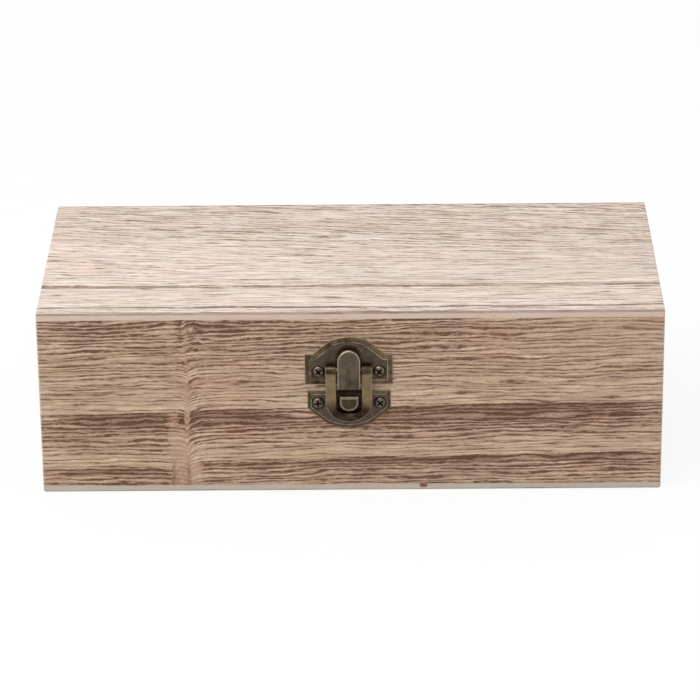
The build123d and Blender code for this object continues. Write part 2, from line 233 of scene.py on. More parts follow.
# %% Helpers: groups
def new_group(name, inputs, outputs):
    """A node group. Returns its tree, the sockets that it is given and its output node."""
    kinds = {"number": "NodeSocketFloat", "point": "NodeSocketVector", "colour": "NodeSocketColor"}
    tree = bpy.data.node_groups.new(name, "ShaderNodeTree")
    for way, sockets in (("INPUT", inputs), ("OUTPUT", outputs)):
        for label, kind in sockets.items():
            tree.interface.new_socket(name=label, in_out=way, socket_type=kinds[kind])
    return tree, tree.nodes.new("NodeGroupInput").outputs, tree.nodes.new("NodeGroupOutput")


def put_out(tree, result, values):
    """Wire what a group works out to its output node."""
    for name, value in values.items():
        wire(tree, value, result.inputs[name])
    print(tree.name, "has", len(tree.nodes), "nodes and puts out", ", ".join(values))


def use_group(tree, group, inputs):
    """Place a group in a tree, give its inputs their values and return its outputs."""
    node = tree.nodes.new("ShaderNodeGroup")
    node.node_tree = group
    for name, value in inputs.items():
        wire(tree, value, node.inputs[name])
    return node.outputs


say_made(new_group, put_out, use_group)

# %% [markdown]
# ## Materials
# A material keeps its own shader and gets its patterns from the groups. Patterns read Object coordinates,
# and every object here sits at the origin, so a point's place is its place on the closed box, and a
# pattern runs on from the base to the lid. Laid-out UV maps would have to be matched at each corner.


# %% Helpers: materials
def new_material(name):
    """An empty material: itself, its tree and its Principled shader."""
    material = bpy.data.materials.new(name)
    material.use_nodes = True
    return material, material.node_tree, material.node_tree.nodes["Principled BSDF"]


def place_in_mm(tree):
    """Where a point lies on the box in millimetres: as one point, and as its X, Y and Z."""
    place = add_node(tree, "ShaderNodeTexCoord").outputs["Object"]
    point = add_node(tree, "ShaderNodeVectorMath", {0: place, "Scale": 1 / MM}, operation="SCALE").outputs[0]
    return point, add_node(tree, "ShaderNodeSeparateXYZ", {0: point}).outputs


def bumpy(tree, height, shader, strength, depth):
    """Let a height catch the light as if the surface were depth mm deep."""
    bump = add_node(tree, "ShaderNodeBump", {"Height": height, "Strength": strength, "Distance": depth * MM})
    wire(tree, bump.outputs[0], shader.inputs["Normal"])


say_made(new_material, place_in_mm, bumpy)

# %% [markdown]
# ## Where a branch grew
# On the front, a branch once left the trunk, and the board shows where. The rings step down on one side of
# a pale upright seam and slope back up on the other, and near the lid's top edge there is a round bud.
# This group tells a point how far the grain dips there, how much further the fine grooves are pulled down
# at the seam, and how near the mark is. Other patterns are then drawn on the dipped place, which
# bends them all alike, as no painted line could.

# %% Where a branch grew
branch_group, given, result = new_group(
    "branch mark",
    dict.fromkeys(("Along", "Across", "Depth", "Branch At", "Strength"), "number"),
    dict.fromkeys(("Dip", "Pull", "Near", "Bare", "Dark", "Scar"), "number"),
)
tree = branch_group
across = given["Across"]
place = vector(tree, given["Along"], across, given["Depth"])
seam_line = times(tree, swing(tree, place, (9, 5, 9)), 2.0, given["Branch At"])
offset = calc(tree, "SUBTRACT", given["Along"], seam_line)
distance_off = calc(tree, "ABSOLUTE", offset)
below_lid = fade(tree, across, 56.0, 46.0)
near = fade(tree, calc(tree, "ABSOLUTE", calc(tree, "SUBTRACT", offset, 1.2)), 9.0, 2.5)
near = calc(tree, "MULTIPLY", near, times(tree, below_lid, -0.5, 1.0))

right_side = fade(tree, offset, -0.6, 0.6)
left_side = calc(tree, "SUBTRACT", 1.0, right_side)
step_down = times(tree, fade(tree, across, 36.0, 10.0), 1.4, 0.8)
slope = calc(tree, "EXPONENT", calc(tree, "DIVIDE", distance_off, -2.4))
slope_depth = times(tree, below_lid, 1.2, 0.4)
dip = times(tree, step_down, left_side, chain(tree, "MULTIPLY", slope, right_side, slope_depth))
pulled = calc(tree, "EXPONENT", calc(tree, "DIVIDE", distance_off, -1.6))
pull = calc(tree, "MULTIPLY", pulled, times(tree, below_lid, 1.1, 0.1))

bud_height, bud_radius = 65.8, 1.8
bud_reach = oval(tree, offset, across, (2.2, bud_height), (2.1, bud_radius))
over_bud = calc(tree, "DIVIDE", calc(tree, "SUBTRACT", across, bud_height), bud_radius)
round_bud = calc(tree, "EXPONENT", times(tree, bud_reach, -1.0))
dip = times(tree, calc(tree, "MULTIPLY", round_bud, over_bud), -2.0, dip)
dark = times(tree, calc(tree, "EXPONENT", times(tree, bud_reach, -0.2)), 0.5)
print("the grain steps and dips with", len(tree.nodes), "nodes")

# %% [markdown]
# ## Bare wood and a scar
# Beside the mark the torch left some wood bare: along the seam, in a patch under the dark ring and in the
# bud. At the foot of the board is a brown scar of upright strokes. Masks with straight edges would look
# like stickers, so a small cloud pushes the patch's sides in and out, and another breaks up the scar.

# %% Bare wood and a scar
seam_strength = times(tree, fade(tree, across, 51.0, 42.0), 0.5, 0.3)
seam = calc(tree, "MULTIPLY", fade(tree, distance_off, 1.3, 0.5), seam_strength)
ragged = times(tree, swing(tree, place, (1.2, 2.2, 3), 2.0, 0.6), 5.0, offset)
narrowed = times(tree, fade(tree, across, 14.0, 11.0), -4.5, ragged)
patch_sides = calc(tree, "MULTIPLY", fade(tree, ragged, -7.3, -5.3), fade(tree, narrowed, 2.4, -1.0))
under_ring = calc(tree, "MULTIPLY", fade(tree, across, 28.0, 22.0), patch_sides)
beside_ring = times(tree, between(tree, ragged, -6.8, -3.4, 0.8), 0.35)
in_bud = times(tree, fade(tree, bud_reach, 0.35, 0.05), 0.45)
bare = chain(tree, "MAXIMUM", seam, under_ring, beside_ring, in_bud)

strokes = calc(tree, "MAXIMUM", between(tree, offset, -6.2, -5.0, 0.6), between(tree, offset, -0.6, 0.7, 0.6))
whole_scar = times(tree, between(tree, offset, -6.6, 0.8, 0.8), 0.45)
upright = fade(tree, cloud(tree, place, (0.7, 3, 4), 3.0, 0.65), 0.32, 0.55)
at_foot = calc(tree, "MULTIPLY", fade(tree, across, 14.5, 9.0), upright)
scar = calc(tree, "MULTIPLY", at_foot, times(tree, strokes, 0.55, whole_scar))

marks = {"Dip": dip, "Pull": pull, "Near": near, "Bare": bare, "Dark": dark, "Scar": scar}
put_out(tree, result, {name: calc(tree, "MULTIPLY", mark, given["Strength"]) for name, mark in marks.items()})

# %% [markdown]
# ## How the grain flows
# Growth rings run along a board in lines that rise a little, wander slowly, ripple finely and dip beside a
# branch. The group adds all of these to a point's place across the board. Broad rings are read at the
# first level that it puts out, and fine grooves at the second, which ripples more and is torn into
# small hooks near the branch.

# %% How the grain flows
flow_group, given, result = new_group(
    "grain flow",
    dict.fromkeys(("Along", "Across", "Depth", "Rise", "Wander", "Dip", "Pull", "Near Branch"), "number"),
    dict.fromkeys(("Ring Level", "Groove Level"), "number"),
)
tree = flow_group
place = vector(tree, given["Along"], given["Across"], given["Depth"])
level = times(tree, given["Along"], times(tree, given["Rise"], -1.0), given["Across"])
level = calc(tree, "ADD", given["Dip"], level)
level = times(tree, swing(tree, place, (130, 40, 60)), given["Wander"], level)
ring_level = times(tree, swing(tree, place, (7, 2.2, 4)), 0.9, level)

hooks = times(tree, given["Near Branch"], 1.8)
groove_level = times(tree, swing(tree, place, (48, 8, 14)), 3.2, calc(tree, "ADD", given["Pull"], level))
groove_level = times(tree, swing(tree, place, (2.2, 1.1, 2)), hooks, groove_level)
groove_level = times(tree, swing(tree, place, (6.0, 1.7, 4)), 1.1, groove_level)
put_out(tree, result, {"Ring Level": ring_level, "Groove Level": groove_level})

# %% [markdown]
# ## Scorched grooves
# The torch burns the soft wood of each ring and the brush carries it off, which leaves fine dark grooves,
# about a millimetre and a half apart, between pale ridges. Noise alone gives no such even spacing, and a
# plain wave looks like cloth. So the grooves are a cosine across the grain whose phase a cloud pushes
# about, and neighbours fork, merge and drift. Two more clouds are added before the cut: one makes a
# groove swell and the next one fade out, and the other chops them up where the ring is darkest.

# %% Scorched grooves
groove_group, given, result = new_group(
    "scorched grooves",
    {"Flow": "point", **dict.fromkeys(("Spacing", "Ring", "Calm", "Broken"), "number")},
    dict.fromkeys(("Grooves", "Hairs", "Fibres", "Crests", "Height"), "number"),
)
tree = groove_group
flow, ring, broken = given["Flow"], given["Ring"], given["Broken"]
across_grain = add_node(tree, "ShaderNodeSeparateXYZ", {0: flow}).outputs["Y"]
rings_passed = calc(tree, "DIVIDE", across_grain, given["Spacing"])
phase = times(tree, swing(tree, flow, (34, 3.0, 6)), 2.6, rings_passed)
wave = calc(tree, "COSINE", times(tree, phase, 2 * math.pi))

swell = swing(tree, flow, (13, 1.0, 3), 3.0)
swollen = times(tree, swell, times(tree, ring, -0.4, 2.5), wave)
chopping = times(tree, broken, 3.0, times(tree, ring, 4.2, 1.0))
swollen = times(tree, swing(tree, flow, (3.2, 0.8, 1.6)), chopping, swollen)
cut = times(tree, broken, -0.1, times(tree, ring, -0.85, 0.45))
grooves = fade(tree, swollen, cut, calc(tree, "ADD", cut, 1.1))
joined = calc(tree, "MAXIMUM", fade(tree, wave, -0.95, -0.1), ring)
print("grooves swell, break and join with", len(tree.nodes), "nodes")

# %% [markdown]
# ## Hairs, fibres and crests
# Between the grooves the wood has finer lines: hairs of soot, fibres an eighth of a millimetre thick, and the
# bright crests of ridges that only the brush touched, pale wood with a painted highlight. Specks break all of
# them up. Together they also give a height, so that light rakes across the brushed wood. Where the wood is calm
# they stay shallow.

# %% Hairs, fibres and crests
specks = cloud(tree, flow, (1.4, 0.5, 0.6), 2.0, 0.6)
keep = times(tree, given["Calm"], -0.85, 1.0)
grooves = chain(tree, "MULTIPLY", grooves, joined, fade(tree, specks, 0.2, 0.48), keep)
hairs = calc(tree, "MULTIPLY", fade(tree, cloud(tree, flow, (14, 0.42, 1.2), 3.0, 0.6), 0.42, 0.66), keep)
fibres = swing(tree, flow, (9, 0.13, 0.5))
ridge_tops = fade(tree, times(tree, swell, 3.0, wave), -0.1, -1.3)
crests = calc(tree, "MULTIPLY", ridge_tops, fade(tree, specks, 0.7, 0.35))

height = times(tree, grooves, -1.0, times(tree, hairs, -0.4))
height = times(tree, specks, 0.2, times(tree, fibres, 0.3, height))
lines = {"Grooves": grooves, "Hairs": hairs, "Fibres": fibres, "Crests": crests, "Height": height}
put_out(tree, result, lines)

# %% [markdown]
# ## Dark and pale rings
# Front, back and end boards were sawn across their height after they were scorched, so lid and base share
# one pattern. A ramp over the board's height tells how dark the ring is: each darkens slowly and ends at one
# sharp line, where a year's growth stopped. The torch also passed faster over the upper right of each
# board and over its ends. Patterns could be painted by hand, but a list of heights is easier to correct.


# %% Dark and pale rings
def ring_darkness(tree, level, stops):
    """How dark the ring is at a level, from stops of (level in mm, darkness)."""
    low, high = stops[0][0], stops[-1][0]
    share = calc(tree, "DIVIDE", calc(tree, "SUBTRACT", level, low), high - low)
    ramp = add_node(tree, "ShaderNodeValToRGB", {"Fac": share})
    shades = ramp.color_ramp.elements
    while len(shades) < len(stops):
        shades.new(0.5)
    for shade, (height, darkness) in zip(shades, stops):
        shade.position = (height - low) / (high - low)
        shade.color = (darkness, darkness, darkness, 1)
    return ramp.outputs[0]


def spared_by_torch(tree, along, across):
    """1 where the torch passed faster."""
    upper_right = calc(tree, "MULTIPLY", fade(tree, along, 20.0, 100.0), fade(tree, across, 44.0, 60.0))
    ends = times(tree, fade(tree, calc(tree, "ABSOLUTE", along), 98.0, 114.0), 0.4)
    return calc(tree, "MAXIMUM", upper_right, ends)


front_rings = [(0, 0.38), (9.5, 0.6), (11.5, 0.9), (13.6, 0.95), (14.3, 0), (18.5, 0.1), (23, 0.5)]
front_rings += [(28.5, 0.9), (33.8, 1), (34.7, 0.05), (44, 0.2), (54, 0.4), (61, 0.65), (72, 0.7)]
end_rings = [(0, 0.3), (15, 0.8), (16, 0.05), (38, 0.4), (46.5, 0.9), (47.6, 0.1), (72, 0.6)]
panel_rings = [(-54, 0.3), (-49.7, 0.1), (-49, 1), (-47.9, 0.95), (-47.1, 0.05), (-30.2, 0.1), (-29, 1)]
panel_rings += [(-27.5, 0.95), (-26.3, 0.05), (5, 0.15), (24, 0.4), (40, 0.3), (54, 0.45)]
print("stops over the front, the ends and a panel:", len(front_rings), len(end_rings), len(panel_rings))

# %% [markdown]
# ## Where the torch reached
# The box was scorched from outside after it was glued up. Inside, on the sawn rims and on the panels' thin
# edges the wood is raw; the upright corners were scuffed pale, and a panel's long edges burnt dark.
# The outside could be painted face by face, but a point's place already tells it all: how far it is past
# the planes that lie just under the surface.


# %% Where the torch reached
under_skin = 0.8
panel_skin = 0.75


def scorched_where(tree, place, faces):
    """Masks: scorched at all, on a burnt long edge of a panel, and inside the box."""
    past_side = calc(tree, "SUBTRACT", calc(tree, "ABSOLUTE", place["X"]), half_width - under_skin)
    past_front = calc(tree, "SUBTRACT", calc(tree, "ABSOLUTE", place["Y"]), half_depth - under_skin)
    outermost = calc(tree, "MAXIMUM", past_side, past_front)
    inside = fade(tree, outermost, -0.6, -3.0)
    if faces == "sides":
        scuffed = fade(tree, calc(tree, "MINIMUM", past_side, past_front), 0.1, 0.7)
        scorched = calc(tree, "MULTIPLY", fade(tree, outermost, 0.0, 0.35), times(tree, scuffed, -0.6, 1.0))
        return scorched, 0.0, inside
    outward, start = (1.0, panel_skin - box_top) if faces == "top" else (-1.0, panel_skin)
    scorched = fade(tree, times(tree, place["Z"], outward, start), 0.0, 0.35)
    return scorched, fade(tree, past_front, -0.5, 0.1), inside


def speck_of_bark(tree, place):
    """A speck of bark on the front edge of the bottom panel."""
    speck = fade(tree, oval(tree, place["X"], place["Z"], (26.7, 1.8), (1.7, 0.8)), 1.1, 0.6)
    return calc(tree, "MULTIPLY", speck, fade(tree, place["Y"], 1.5 - half_depth, 0.5 - half_depth))


print("scorched within", under_skin, "mm of", half_width, "and", half_depth, "mm from the middle")

# %% [markdown]
# ## Burnt and raw wood
# Colour is laid on in coats, from the broadest to the finest, as a restorer would: pale ridge and tan wash
# in patches, solid brown in the darkest rings, bright crests, then hairs, fibres and grooves in groove
# brown, and the scar last. Raw wood is plain, with faint lines. Each coat is a mask from the groups above
# and one colour, so any of them can be corrected alone.

# %% Burnt and raw wood
inside_wood = screen(226, 207, 184)
inside_line = screen(172, 140, 112)
rosy = screen(255, 249, 248)
olive = screen(253, 254, 247)
scar_brown = screen(122, 90, 66)
bark_brown = screen(112, 78, 64)


def burnt_wood(tree, look, mark, ring, lines, patches, hue):
    washed = times(tree, calc(tree, "SUBTRACT", patches, 0.5), 1.3, times(tree, ring, 0.85))
    washed = calc(tree, "ADD", times(tree, mark["Bare"], 0.55, washed), 0.1, clamp=True)
    colour = coat(tree, washed, look["ridge"], look["wash"])
    solid = calc(tree, "MULTIPLY", fade(tree, ring, 0.72, 0.98), fade(tree, patches, 0.3, 0.55))
    # Crests: pale ridge tops with a painted highlight.
    crests = calc(tree, "MULTIPLY", lines["Crests"], times(tree, solid, -0.4, 0.66))
    coats = [(times(tree, solid, 0.4), look["groove"]), (crests, look["crest"])]
    for line, thickness in (("Hairs", 0.38), ("Fibres", 1.2), ("Grooves", 0.88)):
        coats.append((times(tree, lines[line], thickness), look["groove"]))
    coats.append((times(tree, mark["Scar"], 0.8), scar_brown))
    for amount, over in coats:
        colour = coat(tree, amount, colour, over)
    colour = coat(tree, fade(tree, hue, 0.5, 0.72), colour, rosy, "MULTIPLY")
    return coat(tree, fade(tree, hue, 0.46, 0.3), colour, olive, "MULTIPLY")


def raw_wood(tree, look, lines, hue, inside):
    colour = coat(tree, inside, look["edge"], inside_wood)
    colour = coat(tree, fade(tree, hue, 0.4, 0.6), colour, rosy, "MULTIPLY")
    faint = times(tree, inside, 0.14, 0.14)
    for line in ("Hairs", "Grooves"):
        colour = coat(tree, calc(tree, "MULTIPLY", lines[line], faint), colour, inside_line)
    return colour


print("scar brown is", [round(share, 2) for share in scar_brown[:3]], "in linear light")

# %% [markdown]
# ## Paulownia
# Now the wood itself. One function makes the material of a board from its own values: which way the grain
# runs, which faces were scorched, its rings and colours, how far apart the grooves are, and a seed that
# moves it to another part of the tree. The masks feed colour, roughness and bump together, because
# a groove is at once darker, duller and deeper.

# %% Paulownia
branch_at = -60.6
brushed_depth = 0.3
wood_roughness = 0.68
soot_roughness = 0.14
long_edge_burn = 0.75


def grain_lines(tree, along, across, depth, faces, stops, spacing, rise, wander, branch, seed):
    """What the groups give for one board: branch marks, ring, lines and broad patches."""
    where = {"Along": along, "Across": across}
    mark = use_group(tree, branch_group, {**where, "Depth": depth, "Branch At": branch_at, "Strength": branch})
    seeded = calc(tree, "ADD", depth, seed)
    if faces == "top":
        rise = times(tree, fade(tree, across, -32.0, 16.0), rise)
    pushed = {"Dip": mark["Dip"], "Pull": mark["Pull"], "Near Branch": mark["Near"]}
    bend = {"Depth": seeded, "Rise": rise, "Wander": wander, **pushed}
    level = use_group(tree, flow_group, {**where, **bend})
    spared = spared_by_torch(tree, along, across) if faces == "sides" else 0.0
    ring = calc(tree, "ADD", ring_darkness(tree, level["Ring Level"], stops), mark["Dark"], clamp=True)
    paler = (times(tree, mark["Bare"], -0.8, 1.0), times(tree, spared, -0.55, 1.0))
    ring = chain(tree, "MULTIPLY", ring, *paler)
    calm = calc(tree, "MAXIMUM", mark["Bare"], times(tree, spared, 0.25))
    flow = vector(tree, along, level["Groove Level"], seeded)
    state = {"Flow": flow, "Spacing": spacing, "Ring": ring, "Calm": calm, "Broken": mark["Near"]}
    return mark, ring, use_group(tree, groove_group, state), cloud(tree, flow, (46, 6, 12), 3.0)


def paulownia(name, grain, faces, stops, look, spacing=1.6, rise=0.0, wander=6.0, branch=0.0, seed=0.0):
    """Wood whose grain runs along grain[0]; grain[1] is across it and grain[2] is into the board."""
    material, tree, shader = new_material(name)
    point, place = place_in_mm(tree)
    axes = (place[axis] for axis in grain)
    mark, ring, lines, patches = grain_lines(tree, *axes, faces, stops, spacing, rise, wander, branch, seed)
    scorched, long_edge, inside = scorched_where(tree, place, faces)
    hue = cloud(tree, point, (30, 30, 30))
    burnt = burnt_wood(tree, look, mark, ring, lines, patches, hue)
    burnt = coat(tree, times(tree, long_edge, long_edge_burn), burnt, look["groove"])
    raw = raw_wood(tree, look, lines, hue, inside)
    if faces == "underside":
        raw = coat(tree, speck_of_bark(tree, place), raw, bark_brown)
    wire(tree, coat(tree, scorched, raw, burnt), shader.inputs["Base Color"])
    rough = times(tree, lines["Grooves"], soot_roughness, wood_roughness)
    wire(tree, rough, shader.inputs["Roughness"])
    bumpy(tree, calc(tree, "MULTIPLY", lines["Height"], scorched), shader, 0.8, brushed_depth)
    print(name, "has", len(tree.nodes), "nodes beside its groups")
    return material


# %% [markdown]
# ## The boards
# The four sides are darker than the two panels, whose wood was only kissed by the torch. On a side the grain
# runs along the board and its height is across it; on a panel it runs along X, and over the back half of
# the top it slopes to the front right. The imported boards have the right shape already, so they stay and
# only get their wood.

# %% The boards
tones = ("crest", "ridge", "wash", "groove", "edge")
side_look = ((230, 206, 182), (202, 174, 148), (158, 121, 97), (84, 50, 25), (224, 205, 186))
top_look = ((252, 241, 231), (240, 223, 210), (212, 190, 173), (126, 99, 80), (200, 180, 166))
bottom_look = ((242, 228, 216), (228, 210, 195), (204, 184, 166), (142, 118, 100), (180, 171, 160))
side_look, top_look, bottom_look = (
    {tone: screen(*colour) for tone, colour in zip(tones, look)} for look in (side_look, top_look, bottom_look)
)

lively = {"rise": 0.015, "wander": 3.0, "branch": 1.0, "seed": 3.0}
end_wood = paulownia("torched_end", "YZX", "sides", end_rings, side_look, seed=140.0)
wood_of = {
    "front_board": paulownia("torched_front", "XZY", "sides", front_rings, side_look, **lively),
    "back_board": paulownia("torched_back", "XZY", "sides", end_rings, side_look, rise=-0.01, seed=71.0),
    "left_board": end_wood,
    "right_board": end_wood,
    "top_panel": paulownia(
        "torched_top", "XYZ", "top", panel_rings, top_look, spacing=2.1, rise=-0.1, wander=4.0, seed=210.0
    ),
    "bottom_panel": paulownia(
        "torched_bottom", "XYZ", "underside", panel_rings, bottom_look, spacing=2.1, seed=330.0
    ),
}
for node_name, board in nodes.items():
    for ending, wood in wood_of.items():
        if node_name.endswith(ending):
            board.data.materials.clear()
            board.data.materials.append(wood)
            print(node_name, "is of", wood.name)

# %% [markdown]
# ## Antique bronze
# The latch is stamped steel with a dark bronze finish that was rubbed back, so raised edges shine and hollows
# stay nearly black. One colour with a gloss would look like plastic. This group gives the finish from two
# colours and a Wear And Light, which says how far it is rubbed and, on some pieces, how much painted light and
# shade it carries: cloudy wear over a few millimetres, fine brush strokes and specks move it up and down. More
# of it also makes the metal smoother.

# %% Antique bronze
bronze_group, given, result = new_group(
    "antique bronze",
    {"Point": "point", "Dark": "colour", "Rubbed And Highlit": "colour", "Wear And Light": "number"},
    {"Color": "colour", "Roughness": "number", "Height": "number"},
)
tree = bronze_group
mottle = swing(tree, given["Point"], (2.4, 2.4, 2.4), 3.0)
speck = swing(tree, given["Point"], (0.3, 0.3, 0.3))
brushed = swing(tree, given["Point"], (0.28, 2.0, 4.0))
rub_and_light = times(tree, brushed, 0.45, times(tree, mottle, 0.75, given["Wear And Light"]))
rub_and_light = calc(tree, "MULTIPLY_ADD", speck, 0.3, rub_and_light, clamp=True)
finish = {
    "Color": coat(tree, rub_and_light, given["Dark"], given["Rubbed And Highlit"]),
    "Roughness": times(tree, speck, 0.12, times(tree, rub_and_light, -0.18, 0.5)),
    "Height": times(tree, mottle, 0.6, speck),
}
put_out(tree, result, finish)

# %% [markdown]
# ## Where the metal is rubbed, and where light and shade are painted
# Wear differs over a piece, so it may also be a pattern, and painted light and shade are laid on the same way.
# The loop's arms are lighter, a painted reflection, while its bow and its rolled eyes are darker, painted
# shade. The lower plate and its edges get painted shade where the loop and the lever stand over them. A loop's
# outer edge gets a painted highlight, and its inner edge stays dark, painted shade. A pressed rim and the ridge
# inside it are bright in patches as wide as a fingertip, with a painted highlight that grows to the right, and
# the lever is lighter towards its upper end. All of these are fades over the distance from the latch's middle
# line and over the height.

# %% Where the metal is rubbed and light and shade are painted
latch_middle = -0.7
lower_plate_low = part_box("latch_lower_plate")[0].z / MM
upper_plate_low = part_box("latch_upper_plate")[0].z / MM


def off_middle(tree, place):
    return calc(tree, "ABSOLUTE", calc(tree, "SUBTRACT", place["X"], latch_middle))


# Painted shade on the lower plate where the loop and the lever stand over it.
def painted_shade_behind_loop(tree, place):
    beside = fade(tree, off_middle(tree, place), 3.9, 5.4)
    below = fade(tree, place["Z"], lower_plate_low + 6.5, lower_plate_low + 4.0)
    return times(tree, calc(tree, "MAXIMUM", beside, below), 0.45)


# Painted light: lighter arms as a painted reflection, darker bow and rolled eyes as painted shade.
def lit_arms_shaded_bow(tree, place):
    above_bow = fade(tree, place["Z"], lower_plate_low + 8.0, lower_plate_low + 14.0)
    below_eyes = fade(tree, place["Z"], upper_plate_low + 6.6, upper_plate_low + 4.6)
    return times(tree, calc(tree, "MULTIPLY", above_bow, times(tree, below_eyes, 0.8, 0.2)), 0.72, 0.1)


# Painted highlight on the loop's outer edges; its inner edges stay dark, painted shade.
def highlit_outer_edge(tree, place):
    beside = fade(tree, off_middle(tree, place), 5.2, 6.0)
    below = fade(tree, place["Z"], lower_plate_low + 6.2, lower_plate_low + 5.8)
    return times(tree, calc(tree, "MAXIMUM", beside, below), 0.5)


# Random patches, with a painted highlight that grows to the right.
def patchy_and_highlit_right(tree, place):
    point = vector(tree, place["X"], place["Y"], place["Z"])
    highlight_to_the_right = times(tree, fade(tree, place["X"], 2.0, 12.0), 0.2, 0.36)
    return times(tree, swing(tree, point, (5.0, 5.0, 5.0)), 1.6, highlight_to_the_right)


# Lighter towards the lever's upper end.
def lighter_upward(tree, place):
    point = vector(tree, place["X"], place["Y"], place["Z"])
    upward = fade(tree, place["Z"], upper_plate_low + 2.0, upper_plate_low + 13.0)
    return times(tree, swing(tree, point, (3.0, 3.0, 5.0)), 0.9, times(tree, upward, 0.2, 0.46))


print("the loop hangs from", round(upper_plate_low, 1), "mm, its plate starts at", round(lower_plate_low, 1))

# %% [markdown]
# ## Bronze finishes
# Each finish is the same metal in another state, and some also carry painted light and shade: dull on a field,
# nearly black in a hollow, where patina is darkened further as painted shade, bright along an edge, where
# rubbed metal has a painted highlight. A single material with a mask could hold them all, but separate ones can
# be given to faces, and the imported model's own corners say best where a hollow ends and a rim begins.

# %% Bronze finishes
bronze_grain = 0.05


def bronze(name, dark, rubbed_and_highlit, wear_and_light):
    """Bronze that is rubbed, and on some pieces given painted light and shade, by wear_and_light: a number or a
    function of the tree and the place in mm.
    """
    material, tree, shader = new_material("bronze_" + name)
    point, place = place_in_mm(tree)
    wear_and_light_here = wear_and_light(tree, place) if callable(wear_and_light) else wear_and_light
    look = use_group(tree, bronze_group, {"Point": point, "Dark": dark, "Rubbed And Highlit": rubbed_and_highlit, "Wear And Light": wear_and_light_here})
    shader.inputs["Metallic"].default_value = 1.0
    wire(tree, look["Color"], shader.inputs["Base Color"])
    wire(tree, look["Roughness"], shader.inputs["Roughness"])
    bumpy(tree, look["Height"], shader, 0.3, bronze_grain)
    return material


# Near black: patina in hollows darkened further as painted shade, and painted shade in a screw's cross.
near_black = screen(22, 17, 14)
patina = screen(46, 34, 27)
olive_bronze = screen(122, 104, 80)
grey_bronze = screen(112, 101, 85)
# Rubbed metal; on edges, ridges and the loop it also paints a highlight.
rubbed_and_highlit_bronze = screen(206, 193, 172)

field_bronze = bronze("field", patina, grey_bronze, 0.42)
# Painted shade behind the loop, on the lower plate's field, rim and edges.
shaded_lower_bronze = bronze("shaded_lower", patina, grey_bronze, painted_shade_behind_loop)
rim_bronze = bronze("rim", patina, olive_bronze, patchy_and_highlit_right)
shaded_lower_rim_bronze = bronze("shaded_lower_rim", patina, olive_bronze, painted_shade_behind_loop)
# Ridge lines: rubbed metal with a painted highlight.
ridge_bronze = bronze("ridge", patina, rubbed_and_highlit_bronze, patchy_and_highlit_right)
# Hollows: patina, darkened further as painted shade.
hollow_bronze = bronze("hollow", near_black, olive_bronze, 0.32)
# The hook's rim: rubbed metal with a painted highlight.
hook_bronze = bronze("hook", patina, screen(170, 158, 131), 0.52)
lever_bronze = bronze("lever", patina, grey_bronze, lighter_upward)
# Arms: painted reflection; bow and rolled eyes: painted shade.
arm_bronze = bronze("arm", patina, screen(134, 116, 88), lit_arms_shaded_bow)
# Edges: rubbed metal with a painted highlight.
edge_bronze = bronze("edge", olive_bronze, rubbed_and_highlit_bronze, 0.5)
shaded_lower_edge_bronze = bronze("shaded_lower_edge", patina, rubbed_and_highlit_bronze, painted_shade_behind_loop)
# Painted highlight on the loop's outer edge.
loop_edge_bronze = bronze("loop_edge", patina, rubbed_and_highlit_bronze, highlit_outer_edge)
screw_bronze = bronze("screw", patina, screen(140, 124, 112), 0.5)
# A screw's cross: painted shade in the recess.
slot_shade_bronze = bronze("slot", near_black, patina, 0.2)
pin_bronze = bronze("pin", olive_bronze, rubbed_and_highlit_bronze, 0.2)
print("finishes:", ", ".join(m.name for m in bpy.data.materials if m.name.startswith("bronze_")))

# %% [markdown]
# ## New pieces
# A new piece is a mesh object at the origin that rides on a body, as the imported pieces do. Its faces are
# shaded smooth except across real corners, and weighted normals keep the large flat faces flat, so that
# only the rounded edges catch the light.


# %% New pieces
corner_angle = 32


def new_piece(name, shape, body, materials):
    """Make an object of a bmesh, give it its finishes and let it ride on a body."""
    mesh = bpy.data.meshes.new(name)
    shape.to_mesh(mesh)
    shape.free()
    for material in materials:
        mesh.materials.append(material)
    mesh.shade_smooth()
    mesh.set_sharp_from_angle(angle=math.radians(corner_angle))
    piece = new_object(name, mesh)
    piece.modifiers.new("even normals", "WEIGHTED_NORMAL").keep_sharp = True
    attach(piece, body)
    return piece


print("pieces that can ride:", sum(len(names) for names in bodies.values()))

# %% [markdown]
# ## Soft metal edges
# A pressed sheet has no sharp edges, and the thin bright line along each of them is what makes it look like
# metal. The imported model has the right shapes with sharp edges, so a metal piece is a copy of its node: its
# loose triangles are merged, flat ones are joined into one face, and its outer edges are bevelled. The bevel's
# faces get a bright finish: fingers and cloth rub an edge first, and the finish also paints a highlight along
# it. A Bevel modifier would round them too, but it can't tell a rim's edge from that of a curved wall.


# %% Soft metal edges
weld_reach = 0.002
flat_within = 1.5
ridge_share = 0.8


def round_edges(shape, edges, width, finish):
    made = bmesh.ops.bevel(
        shape,
        geom=edges,
        offset=width * MM,
        offset_type="OFFSET",
        segments=2,
        profile=0.5,
        affect="EDGES",
        material=-1,
    )
    for face in made["faces"]:
        face.material_index = finish
    return len(made["faces"])


def one_finish(face, middle):
    return 0


